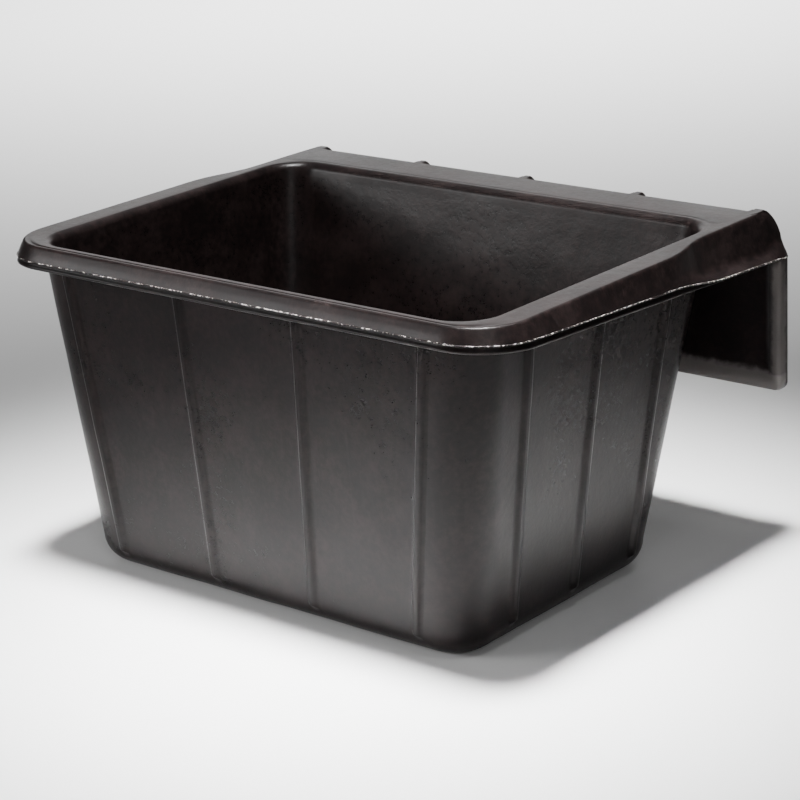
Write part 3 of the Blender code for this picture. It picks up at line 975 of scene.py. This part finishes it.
def ring_faces(rings, count, closed=True):
    """Faces between each ring of points and the next, right round it or, if it isn't closed, end to end."""
    faces = []
    for start in range(0, (rings - 1) * count, count):
        for c in range(count if closed else count - 1):
            d = (c + 1) % count
            faces.append((start + c, start + d, start + count + d, start + count + c))
    return faces


def end_faces(rings, count):
    """One face across the first ring and one across the last."""
    high = (rings - 1) * count
    return [list(range(count))[::-1], list(range(high, high + count))]


def finish_mesh(name, points, faces, material, facing=None):
    """A smooth object from points in millimetres. facing gives each point its normal."""
    mesh = bpy.data.meshes.new(name)
    mesh.from_pydata([tuple(p) for p in np.reshape(points, (-1, 3)) * MM], [], faces)
    mesh.validate()
    shape = bmesh.new()
    shape.from_mesh(mesh)
    bmesh.ops.recalc_face_normals(shape, faces=shape.faces[:])
    shape.to_mesh(mesh)
    shape.free()
    mesh.shade_smooth()
    if facing is not None:
        mesh.normals_split_custom_set_from_vertices([tuple(n) for n in facing.reshape(-1, 3)])
    mesh.materials.append(material)
    piece = bpy.data.objects.new(name, mesh)
    bpy.context.scene.collection.objects.link(piece)
    print(name, len(mesh.vertices), "points", len(mesh.polygons), "faces")
    return piece


# %% Cut the skin into the tub, the rim and the deck
ROWS, COLUMNS = grid.shape[:2]
hook_first = SIDE_COLS.stop - 1
hook_last = COLUMNS - hook_first


def tub_piece():
    """The tub is two sheets, inside and outside, joined along the top of the wall."""
    rows = [*range(SPLIT_INSIDE + 1), *range(SPLIT_OUTSIDE, ROWS)]
    faces = ring_faces(len(rows), COLUMNS) + end_faces(len(rows), COLUMNS)
    return finish_mesh("tub", grid[rows], faces, tub_rubber, normals[rows])


def flange_piece(name, first, last):
    """The flange from one column to another, closed against the tub and across both ends."""
    block = np.ix_(range(SPLIT_INSIDE, SPLIT_OUTSIDE + 1), [c % COLUMNS for c in range(first, last + 1)])
    rows, count = grid[block].shape[:2]
    high = (rows - 1) * count
    faces = ring_faces(rows, count, closed=False)
    faces += [(high + c, high + c + 1, c + 1, c) for c in range(count - 1)]
    faces.append(list(range(0, rows * count, count)))
    faces.append(list(range(count - 1, rows * count, count))[::-1])
    return finish_mesh(name, grid[block], faces, rim_rubber, normals[block])


tub = tub_piece()
rim = flange_piece("rim", hook_last, COLUMNS + hook_first)
deck = flange_piece("deck", hook_first, hook_last)

# %% [markdown]
# ## The hook's plate
# The plate hangs from the deck's back edge. Its inner face is hollowed a little inside a raised border, and
# the five ribs of the deck run on down its outside. A box with an inset face would do for the border, but its
# slope and the ribs' rounds would need many bevels. So it is a grid too, with closed rings round its
# thickness, and rings at its two ends that shrink to round them.

# %% The plate's inner face, foot and outside
PLATE_OUT = DECK_BACK + 2.0
PLATE_TOP = flange_bottom(DECK_BACK - 4.0) + 0.6
PLATE_CORNER = 4.0
PLATE_EDGE = 2.2
RECESS = 5.0
BORDER = 5.0
BORDER_SLOPE = 9.0
PLATE_ROWS = np.array([0.0, 0.02, 0.045, 0.07, 0.1, 0.13, 0.17, 0.3, 0.5, 0.7, 0.9, 1.0])  # from foot to top
FOOT_STEPS = 7
FOOT_SQUARE = (0.55, 0.7)  # powers below 1 make the foot's round fuller, across and down
PLATE_RIB_END = (10.0, 14.0)  # above the foot, where a rib starts and where it is full


def recess_at(x, z):
    """How deep the inner face is hollowed, with a sloping side inside the border."""
    from_end = PLATE_END - BORDER - abs(x)
    from_foot = z - PLATE_FOOT - BORDER
    return RECESS * float(smooth(min(from_end, from_foot) / BORDER_SLOPE))


def foot_at(x):
    """The height of the plate's lower edge, which rises round its two corners."""
    into_corner = max(PLATE_CORNER - (PLATE_END - abs(x)), 0.0)
    return PLATE_FOOT + PLATE_CORNER - math.sqrt(max(PLATE_CORNER**2 - into_corner**2, 0.0))


def under_foot(x, foot, shrink):
    """The round under the plate, from its inner face to its outside."""
    middle = (PLATE_FACE + PLATE_OUT) / 2
    half = (PLATE_OUT - PLATE_FACE - 2 * shrink) / 2
    across, down = FOOT_SQUARE
    points = []
    for angle in np.radians(inner_steps(0, 180, FOOT_STEPS)):
        level = math.cos(angle)
        y = middle - half * math.copysign(abs(level) ** across, level)
        points.append((x, y, foot + PLATE_EDGE - (PLATE_EDGE - shrink) * math.sin(angle) ** down))
    return points


def plate_ring(x, shrink=0.0):
    """One closed ring round the plate's thickness. shrink draws it in where the plate's end is rounded."""
    foot = foot_at(x)
    heights = foot + PLATE_EDGE + (PLATE_TOP - foot - PLATE_EDGE) * PLATE_ROWS
    rib = HOOK_RIB_HEIGHT * float(rib_shape(nearest(np.array([abs(x)]), HOOK_RIBS))[0])
    inner = [(x, PLATE_FACE + shrink + (0.0 if shrink else recess_at(x, z)), z) for z in heights[::-1]]
    outer = [(x, PLATE_OUT - shrink + rib * float(ramp(z - PLATE_FOOT, *PLATE_RIB_END)), z) for z in heights]
    return inner + under_foot(x, foot, shrink) + outer


print("plate between Y", PLATE_FACE, "and", PLATE_OUT, "and up to", PLATE_TOP)

# %% The plate as rings across its length
BETWEEN_RIBS = ((12, 78), (100, 170))
BETWEEN_STEPS = 12
BORDER_PLACES = (9, 6, 3, 0)  # in from the border
LAST_PLACE = 2.4  # in from the plate's end
ENDS = ((2.0, 0.1), (1.2, 0.45), (0.5, 1.1), (0.0, 2.4))  # in from the plate's end, and how much smaller


def plate_places():
    places = [0.0]
    for rib in HOOK_RIBS:
        places += list(rib + RIB_PLACES)
    for start, end in BETWEEN_RIBS:
        places += list(np.linspace(start, end, BETWEEN_STEPS))
    places += [PLATE_END - BORDER - inwards for inwards in BORDER_PLACES]
    places = sorted(set(round(p, 2) for p in places if 0 <= p <= PLATE_END - LAST_PLACE))
    return [-p for p in places[:0:-1]] + places


def make_plate():
    left = [plate_ring(inwards - PLATE_END, shrink) for inwards, shrink in ENDS[::-1]]
    right = [plate_ring(PLATE_END - inwards, shrink) for inwards, shrink in ENDS]
    rings = np.array(left + [plate_ring(x) for x in plate_places()] + right)
    rows, count = rings.shape[:2]
    return finish_mesh("plate", rings, ring_faces(rows, count) + end_faces(rows, count), plate_rubber)


plate = make_plate()

# %% [markdown]
# ## The parting line
# Where the mould's halves met, a thin fin of rubber was torn off and left a rough, bright line. Painted on,
# it would be straight and flat. It is too fine for the grid of the skin, so it is a ribbon of its own with a
# point every three quarters of a millimetre, and noise makes its edge ragged.

# %% A ragged ribbon along the parting line
STEP = 0.75
TORN = (0.42, 0.39, 0.37, 1.0)
LEAST_REACH = 0.1


def torn_spots(place, colour):
    """Bright spots where the thin fin was torn off."""
    return place.noise(620.0, 1.0, 0.4).between(0.5, 0.66).mix_colours(colour, TORN)


def walk(path):
    """Points evenly spaced along a path, about a step apart."""
    length = np.concatenate([[0], np.cumsum(np.linalg.norm(np.diff(path, axis=0), axis=1))])
    places = np.linspace(0, length[-1], int(length[-1] / STEP))
    return np.stack([np.interp(places, length, path[:, i]) for i in range(3)], axis=1)


def jitter(number, pace, seed):
    return noise.noise(Vector((number * pace, seed, 0.0)))


def fin_section(reach):
    """The fin's cross-section, as distances outwards and upwards from the parting line."""
    return ((-0.5, 0.55), (0.12, 0.32), (reach, 0.0), (0.12, -0.32), (-0.5, -0.55))


def make_fin():
    right = edge[-1][: HOOK_COLS.start + PLAIN + LEANING + 2]
    path = walk(np.concatenate([(right * (-1, 1, 1))[::-1][:-1], right]))
    along = np.gradient(path, axis=0)
    out = np.stack([along[:, 1], -along[:, 0], np.zeros(len(path))], axis=1)
    out /= np.linalg.norm(out, axis=1)[:, None]
    rings = []
    for number, (place, side) in enumerate(zip(path, out)):
        ragged = 0.35 + 0.9 * abs(jitter(number, 0.31, 2.0)) + 0.35 * jitter(number, 0.9, 5.0)
        wobble = 0.22 * jitter(number, 0.23, 9.0)
        section = fin_section(FIN * min(max(ragged, LEAST_REACH), 1.0))
        rings.append([place + side * outwards + (0, 0, up + wobble) for outwards, up in section])
    rows, count = np.shape(rings)[:2]
    return finish_mesh("parting_fin", rings, ring_faces(rows, count) + end_faces(rows, count), fin_rubber)


fin_rubber = rubber("fin_rubber", bloom=0.9, gloss=0.38, grain=0.5, extra=torn_spots)
fin = make_fin()

# %% [markdown]
# ## Tie the pieces to the frame
# Nothing on the bucket moves, so each piece rides on its one body. Each takes the rubber's material slot, and
# the solids that it stands for are hidden. The fin is too thin for a solid of its own, so it stands for none.

# %% Which solids each piece stands for
STANDS_FOR = (
    (tub, ("tub_shell",)),
    (rim, ("rim_flange",)),
    (deck, ("hook_deck", "hook_web_left", "hook_web_right")),
    (plate, ("hook_plate",)),
    (fin, ()),
)
for piece, nodes in STANDS_FOR:
    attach(piece, body)
    if nodes:
        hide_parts(*nodes)
    print(piece.name, "stands for", nodes)

# %% [markdown]
# ## Floor, light and camera
# A black, half-glossy thing is drawn by what it reflects. An even light would leave it flat. So the floor is
# pale, and three lamps overhead light stretches of it, one close to the walls, which greys the lower half of
# them. Three panels give the rim, the lip and the corners their highlights.

# %% Floor
FLOOR_SIZE = 8.0
FLOOR_PAINT = (0.93, 0.93, 0.93, 1.0)
FLOOR_ROUGHNESS = 0.9
FLOOR_DROP = 0.0002  # keeps the base and the floor from sharing a plane


def stage_floor():
    shape = bmesh.new()
    bmesh.ops.create_grid(shape, x_segments=2, y_segments=2, size=FLOOR_SIZE)
    mesh = bpy.data.meshes.new("floor")
    shape.to_mesh(mesh)
    shape.free()
    floor = bpy.data.objects.new("floor", mesh)
    bpy.context.scene.collection.objects.link(floor)
    paint = bpy.data.materials.new("floor_paint")
    paint.use_nodes = True
    shader = paint.node_tree.nodes["Principled BSDF"]
    shader.inputs["Base Color"].default_value = FLOOR_PAINT
    shader.inputs["Roughness"].default_value = FLOOR_ROUGHNESS
    mesh.materials.append(paint)
    floor.location.z = -FLOOR_DROP
    return floor


print("staged:", stage_floor().name)

# %% Lamps and a dim, even room
ALL_ROUND = 180
ROOM_STRENGTH = 0.05
LAMPS = (  # name, place, what it points at, width, height, power in watts, spread in degrees
    ("pool_light", (0.05, -0.05, 1.9), (0.05, -0.08, 0.0), 0.45, 0.45, 7, 21),
    ("back_floor_light", (-1.3, 1.5, 2.4), (-1.3, 1.8, 0.0), 1.6, 1.6, 46, 64),
    ("near_floor_light", (0.95, -0.75, 1.7), (0.75, -0.65, 0.0), 0.9, 0.9, 2.2, 45),
    ("back_panel", (-1.9, 2.3, 1.05), (0.0, 0.1, 0.15), 2.0, 1.0, 13, ALL_ROUND),
    ("front_panel", (-1.7, -1.9, 0.85), (0.0, -0.1, 0.15), 1.0, 0.7, 36, ALL_ROUND),
    ("key_panel", (1.6, -1.3, 1.1), (0.0, 0.0, 0.2), 0.5, 0.5, 7, ALL_ROUND),
)


def soft_lamp(name, place, aim, width, height, power, spread):
    data = bpy.data.lights.new(name, "AREA")
    data.shape = "RECTANGLE"
    data.size = width
    data.size_y = height
    data.energy = power
    data.spread = math.radians(spread)
    lamp = bpy.data.objects.new(name, data)
    lamp.location = place
    lamp.rotation_euler = (Vector(aim) - Vector(place)).to_track_quat("-Z", "Y").to_euler()
    bpy.context.scene.collection.objects.link(lamp)


for lamp in LAMPS:
    soft_lamp(*lamp)
world = bpy.data.worlds.new("dim_room")
world.use_nodes = True
world.node_tree.nodes["Background"].inputs["Color"].default_value = (1.0, 1.0, 1.0, 1.0)
world.node_tree.nodes["Background"].inputs["Strength"].default_value = ROOM_STRENGTH
bpy.context.scene.world = world
print("lamps:", [lamp[0] for lamp in LAMPS])

# %% Camera
CAMERA_PLACE = (1.02127, -1.18374, 0.63299)
HEADING, PITCH, ROLL = (math.radians(a) for a in (40.30, 18.71, -2.86))
LENS = 116.42
SENSOR = 36.0


def make_camera():
    level = math.cos(PITCH)
    back = Vector((math.sin(HEADING) * level, -math.cos(HEADING) * level, math.sin(PITCH)))
    right = Vector((math.cos(HEADING), math.sin(HEADING), 0.0))
    up = back.cross(right)
    rolled_right = math.cos(ROLL) * right + math.sin(ROLL) * up
    rolled_up = math.cos(ROLL) * up - math.sin(ROLL) * right
    data = bpy.data.cameras.new("camera")
    data.lens = LENS
    data.sensor_width = SENSOR
    camera = bpy.data.objects.new("camera", data)
    turn_to = Matrix((rolled_right, rolled_up, back)).transposed().to_4x4()
    camera.matrix_world = Matrix.Translation(CAMERA_PLACE) @ turn_to
    bpy.context.scene.collection.objects.link(camera)
    return camera


bpy.context.scene.camera = make_camera()
print("camera", LENS, "mm, from", CAMERA_PLACE)
